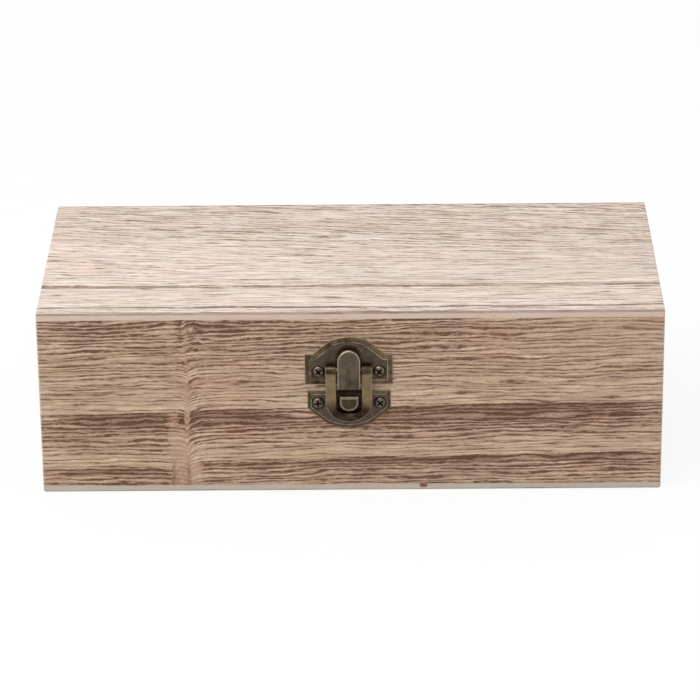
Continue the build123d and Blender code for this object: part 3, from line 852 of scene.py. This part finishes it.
def softened(node_name, slot_name, width, materials, choose=one_finish, sharp=24.0, ridges=None):
    """A copy of a node with rounded edges. materials[1] goes on the edges, choose picks the others.
    With ridges, the edges between a flat field and its rim get a fainter line of that finish."""
    shape = bmesh.new()
    shape.from_mesh(nodes[node_name].data)
    bmesh.ops.remove_doubles(shape, verts=shape.verts, dist=weld_reach * MM)
    bmesh.ops.dissolve_limit(
        shape, angle_limit=math.radians(flat_within), verts=shape.verts, edges=shape.edges
    )
    shape.normal_update()
    for face in shape.faces:
        face.material_index = choose(face, face.calc_center_median() / MM)
    convex = [edge for edge in shape.edges if len(edge.link_faces) == 2 and edge.is_convex]
    outer = [edge for edge in convex if edge.calc_face_angle() > math.radians(sharp)]
    count = round_edges(shape, outer, width, 1)
    if ridges:
        finishes = [(edge, {face.material_index for face in edge.link_faces}) for edge in shape.edges]
        inner = [edge for edge, meeting in finishes if meeting == {0, 2} and edge.is_convex]
        count += round_edges(shape, inner, ridge_share * width, ridges)
    piece = new_piece(node_name + "_soft", shape, body_of_node[node_name], materials)
    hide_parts(node_name)
    print(node_name, "softened with", count, "faces along its edges")
    return piece


# %% [markdown]
# ## The latch plates
# Both plates are pressed from sheet: a flat field, a sloping rim round it and a dished seat for each screw.
# The lower one also carries the hook, a raised D with a sunk face. Two small functions tell a face's
# finish from its place and from the way that it looks, as a masking tape would, so nothing is
# picked by its number.

# %% The latch plates
plate_face = -55.1
hook_face = -56.4
hook_foot = 38.6
head_radius = 2.15
seat_reach = 3.0

seats = []
for node_name in ("upper_plate_screws", "lower_plate_screws"):
    low, high = (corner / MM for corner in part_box(node_name))
    seats += [(seat_x, (low.z + high.z) / 2) for seat_x in (low.x + head_radius, high.x - head_radius)]


def plate_finish(face, middle):
    """2 on the sloping rim of a pressed plate, 3 in the seats of its screws, 0 elsewhere."""
    if not 0.3 < abs(face.normal.y) < 0.97:
        return 0
    return 3 if any(math.dist((middle.x, middle.z), seat) < seat_reach for seat in seats) else 2


def hooked_plate_finish(face, middle):
    """As for a plate, with 3 in the sunk face of the hook and 5 on its rim."""
    if middle.y > plate_face - 0.15:
        return plate_finish(face, middle)
    return 3 if face.normal.y < -0.9 and hook_face < middle.y and middle.z < hook_foot else 5


upper_finishes = (field_bronze, edge_bronze, rim_bronze, hollow_bronze, ridge_bronze)
# The lower plate's finishes carry painted shade behind the loop.
shaded_lower = (shaded_lower_bronze, shaded_lower_edge_bronze, shaded_lower_rim_bronze, hollow_bronze, shaded_lower_edge_bronze)
lower_finishes = (*shaded_lower, hook_bronze)
pressed = {"width": 0.12, "sharp": 50.0, "ridges": 4}
softened("latch_upper_plate", "antique_bronze", materials=upper_finishes, choose=plate_finish, **pressed)
softened("latch_lower_plate", "antique_bronze", materials=lower_finishes, choose=hooked_plate_finish, **pressed)

# %% [markdown]
# ## Lever, loop, pins and hinges
# The lever straddles a tongue of the upper plate that is rolled round its pin, and the loop hangs from a second
# pin in the lever. The two hinges at the back are leaves rolled round a pin. Each piece has one finish and a
# bright edge, rubbed and with a painted highlight. The hinges are hardly touched, so their edges are the
# narrowest.

# %% Lever, loop, pins and hinges
softened("latch_lever", "antique_bronze", 0.13, (lever_bronze, edge_bronze))
softened("latch_loop", "antique_bronze", 0.15, (arm_bronze, loop_edge_bronze))
pins = ["lever_pin", "loop_pin"]
for side in ("left", "right"):
    pins.append(f"{side}_hinge_pin")
    for leaf in ("base_leaf", "lid_leaf"):
        softened(f"{side}_hinge_{leaf}", "antique_bronze", 0.1, (field_bronze, edge_bronze))
for pin in pins:
    softened(pin, "pin_steel", 0.1, (pin_bronze, edge_bronze))

# %% [markdown]
# ## A screw's cross
# The plates are held by small cross-head screws. A screw starts from its cross: a grid of nine squares
# loses its four corners, and the cross that is left is pushed in and narrowed. Cutting the cross with a
# boolean would work too, but it leaves long thin triangles that shade badly.

# %% A screw's cross
cross_span = 2.75
cross_width = 0.7
cross_depth = 0.7
cross_taper = 0.45


def verts_of(geometry):
    return [item for item in geometry if isinstance(item, bmesh.types.BMVert)]


def cross_recess(shape, rise):
    """A cross, sunk from the height of rise. Returns the edges round its mouth."""
    bmesh.ops.create_grid(shape, x_segments=3, y_segments=3, size=cross_span / 2)
    middles = [(face, face.calc_center_median()) for face in shape.faces]
    corners = [face for face, middle in middles if min(abs(middle.x), abs(middle.y)) > cross_span / 4]
    bmesh.ops.delete(shape, geom=corners, context="FACES")
    for vert in shape.verts:
        for axis in (0, 1):
            if abs(vert.co[axis]) < cross_span / 3:
                vert.co[axis] = math.copysign(cross_width / 2, vert.co[axis])
    bmesh.ops.translate(shape, verts=shape.verts, vec=(0, 0, rise))
    mouth = [edge for edge in shape.edges if edge.is_boundary]
    cross = shape.faces[:]
    sunk = verts_of(bmesh.ops.extrude_face_region(shape, geom=cross)["geom"])
    bmesh.ops.delete(shape, geom=cross, context="FACES")
    bmesh.ops.translate(shape, verts=sunk, vec=(0, 0, -cross_depth))
    bmesh.ops.scale(shape, verts=sunk, vec=(cross_taper, cross_taper, 1))
    return mouth


print("a cross", cross_span, "mm wide and", cross_depth, "mm deep, with arms of", cross_width, "mm")

# %% [markdown]
# ## A screw's body
# The rest is turned, as on a lathe. A circle is bridged to the cross's outline as the crown, and its edge is
# extruded ring by ring down the head and the shank and closed in a point. A spun outline would give the
# same body, but its middle would have to be cut out for the cross.

# %% A screw's body
crown_radius = 1.6
crown_fall = 0.06
rim_radius = 2.12
core_radius = 0.72


def turned_body(shape, mouth, rise, length):
    """The crown round the cross, then the head, the shank and the point."""
    radius, height = crown_radius, rise - crown_fall
    ring = bmesh.ops.create_circle(shape, segments=24, radius=radius, cap_ends=False)["verts"]
    bmesh.ops.translate(shape, verts=ring, vec=(0, 0, height))
    edges = list({edge for vert in ring for edge in vert.link_edges})
    bmesh.ops.bridge_loops(shape, edges=mouth + edges)
    dome = (0.5 * (crown_radius + rim_radius), 0.62 * rise)
    head = (dome, (rim_radius, 0.12), (rim_radius, 0.0))
    shank = ((core_radius, -0.5), (core_radius, 1.5 - length), (0.04, -length))
    for next_radius, next_height in head + shank:
        grown = bmesh.ops.extrude_edge_only(shape, edges=edges)["geom"]
        ring = verts_of(grown)
        edges = [item for item in grown if isinstance(item, bmesh.types.BMEdge)]
        bmesh.ops.scale(shape, verts=ring, vec=(next_radius / radius, next_radius / radius, 1))
        bmesh.ops.translate(shape, verts=ring, vec=(0, 0, next_height - height))
        radius, height = next_radius, next_height
    bmesh.ops.pointmerge(shape, verts=ring, merge_co=(0, 0, -length))


print("a head", 2 * rim_radius, "mm across on a shank of", 2 * core_radius, "mm")

# %% [markdown]
# ## A screw's thread
# A thread could be painted as stripes, but then its outline would not show. It is a small triangle that is spun
# round the axis while it slides along it. Its inner side dips into the shank, so that the two meet without a
# gap, and its ends are closed triangles.

# %% A screw's thread
thread_radius = 0.98
thread_pitch = 0.95
thread_turns = 4
steps_per_turn = 12


def thread(shape):
    root = core_radius - 0.1
    corners = ((root, 0, -0.7), (thread_radius, 0, -0.95), (root, 0, -1.2))
    tooth = shape.faces.new([shape.verts.new(corner) for corner in corners])
    bmesh.ops.spin(
        shape,
        geom=[tooth, *tooth.edges, *tooth.verts],
        cent=(0, 0, 0),
        axis=(0, 0, 1),
        dvec=(0, 0, -thread_pitch / steps_per_turn),
        angle=2 * math.pi * thread_turns,
        steps=steps_per_turn * thread_turns,
    )


def wood_screw(rise, length):
    """A screw along +Z in millimetres, with the rim of its head at height 0. Its cross is near black, painted
    shade in the recess.
    """
    shape = bmesh.new()
    turned_body(shape, cross_recess(shape, rise), rise, length)
    thread(shape)
    bmesh.ops.recalc_face_normals(shape, faces=shape.faces)
    for face in shape.faces:
        middle = face.calc_center_median()
        depth = rise - middle.z
        in_cross = middle.xy.length < cross_span / 2 and 0.08 < depth < cross_depth + 0.01
        face.material_index = 2 if in_cross else 0
    mesh = bpy.data.meshes.new("one_screw")
    shape.to_mesh(mesh)
    shape.free()
    print("a screw", length, "mm long has", len(mesh.polygons), "faces")
    return mesh


latch_rise, latch_screw_length = 0.75, 6.0
hinge_rise, hinge_screw_length = 0.45, 5.5
latch_screw = wood_screw(latch_rise, latch_screw_length)
hinge_screw = wood_screw(hinge_rise, hinge_screw_length)

# %% [markdown]
# ## Driving the screws
# Nobody drives all screws to the same angle, and a row of crosses in line looks drawn by a machine. Each
# packed pair of screws is replaced by two copies of the pattern, turned by their own angles. The matrix
# is read from right to left: turn the screw about its axis, lay it down, put it in its seat, and
# change millimetres to metres.


# %% Driving the screws
def drive_screws(node_name, pattern, angles):
    """Two screws in the place of a node, each turned by its own angle."""
    low, high = (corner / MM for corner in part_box(node_name))
    on_front = low.y < 0
    rim_y, quarter = (low.y + latch_rise, 90) if on_front else (high.y - hinge_rise, -90)
    seat_height = (low.z + high.z) / 2
    shape = bmesh.new()
    for seat_x, angle in zip((low.x + head_radius, high.x - head_radius), angles):
        before = len(shape.verts)
        shape.from_mesh(pattern)
        shape.verts.ensure_lookup_table()
        seat = Matrix.Translation((seat_x, rim_y, seat_height))
        lay_down = Matrix.Rotation(math.radians(quarter), 4, "X")
        turn_by = Matrix.Rotation(math.radians(angle), 4, "Z")
        put = Matrix.Scale(MM, 4) @ seat @ lay_down @ turn_by
        bmesh.ops.transform(shape, matrix=put, verts=shape.verts[before:])
    finishes = (screw_bronze, edge_bronze, slot_shade_bronze)
    piece = new_piece(node_name + "_threaded", shape, body_of_node[node_name], finishes)
    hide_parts(node_name)
    print(node_name, "stand", round(high.x - low.x - 2 * head_radius, 1), "mm apart")


screw_angles = {
    "upper_plate": (38, 52),
    "lower_plate": (4, 40),
    "left_hinge_lid": (12, 71),
    "left_hinge_base": (33, 5),
    "right_hinge_lid": (58, 24),
    "right_hinge_base": (80, 47),
}
for held, angles in screw_angles.items():
    drive_screws(held + "_screws", hinge_screw if "hinge" in held else latch_screw, angles)

# %% [markdown]
# ## A white floor
# The box stands on a white sheet. If that were lit until it is white, the pale wood would be burnt out too.
# So for the light it is a matt floor, which keeps the box's soft shadow and throws a little light back up,
# and for the camera and for reflections most of it is a glow of exactly white.

# %% A white floor
floor_size = 6.0
floor_drop = 0.0002
whiteness = 0.88


def seen_directly(tree):
    """1 where a ray comes from the camera or from a reflection."""
    path = add_node(tree, "ShaderNodeLightPath").outputs
    return chain(tree, "MAXIMUM", path["Is Camera Ray"], path["Is Glossy Ray"], path["Is Transmission Ray"])


floor_shape = bmesh.new()
bmesh.ops.create_grid(floor_shape, x_segments=1, y_segments=1, size=floor_size)
bmesh.ops.translate(floor_shape, verts=floor_shape.verts, vec=(0, 0, -floor_drop))
floor_mesh = bpy.data.meshes.new("floor")
floor_shape.to_mesh(floor_mesh)
floor_shape.free()
floor = new_object("floor", floor_mesh)

floor_white, tree, shader = new_material("floor_white")
shader.inputs["Base Color"].default_value = (whiteness, whiteness, whiteness, 1)
shader.inputs["Roughness"].default_value = 1.0
shader.inputs["Specular IOR Level"].default_value = 0.0
glow = add_node(tree, "ShaderNodeEmission", {"Color": (1, 1, 1, 1), "Strength": 1.0})
share = times(tree, seen_directly(tree), whiteness)
mixed = add_node(tree, "ShaderNodeMixShader", {0: share, 1: shader.outputs[0], 2: glow.outputs[0]})
tree.links.new(mixed.outputs[0], tree.nodes["Material Output"].inputs["Surface"])
floor_mesh.materials.append(floor_white)
print("the floor lies", floor_drop / MM, "mm under the box")

# %% [markdown]
# ## Sky and lamp
# Metal shows what is around it, so the sky is white for the camera and for reflections. It lights the box
# less, and one large soft lamp from the upper left front adds the rest. So the box has a lighter and a
# darker side, while a colour still renders about as it was written.

# %% Sky and lamp
world = bpy.data.worlds.new("studio")
world.use_nodes = True
bpy.context.scene.world = world
tree = world.node_tree
soft_sky = tree.nodes["Background"]
soft_sky.inputs["Color"].default_value = (1, 1, 1, 1)
soft_sky.inputs["Strength"].default_value = 0.76
white_sky = add_node(tree, "ShaderNodeBackground", {"Color": (1, 1, 1, 1), "Strength": 1.0})
skies = {0: seen_directly(tree), 1: soft_sky.outputs[0], 2: white_sky.outputs[0]}
mixed = add_node(tree, "ShaderNodeMixShader", skies)
tree.links.new(mixed.outputs[0], tree.nodes["World Output"].inputs["Surface"])

lamp_data = bpy.data.lights.new("key", "AREA")
lamp_data.shape = "SQUARE"
lamp_data.size = 0.8
lamp_data.energy = 9.5
lamp = new_object("key", lamp_data)
lamp.location = (-0.4, -0.5, 1.2)
lamp.rotation_euler = (Vector((0, 0, 0.03)) - lamp.location).to_track_quat("-Z", "Y").to_euler()
print("the lamp hangs", round(lamp.location.length, 2), "m from the box")
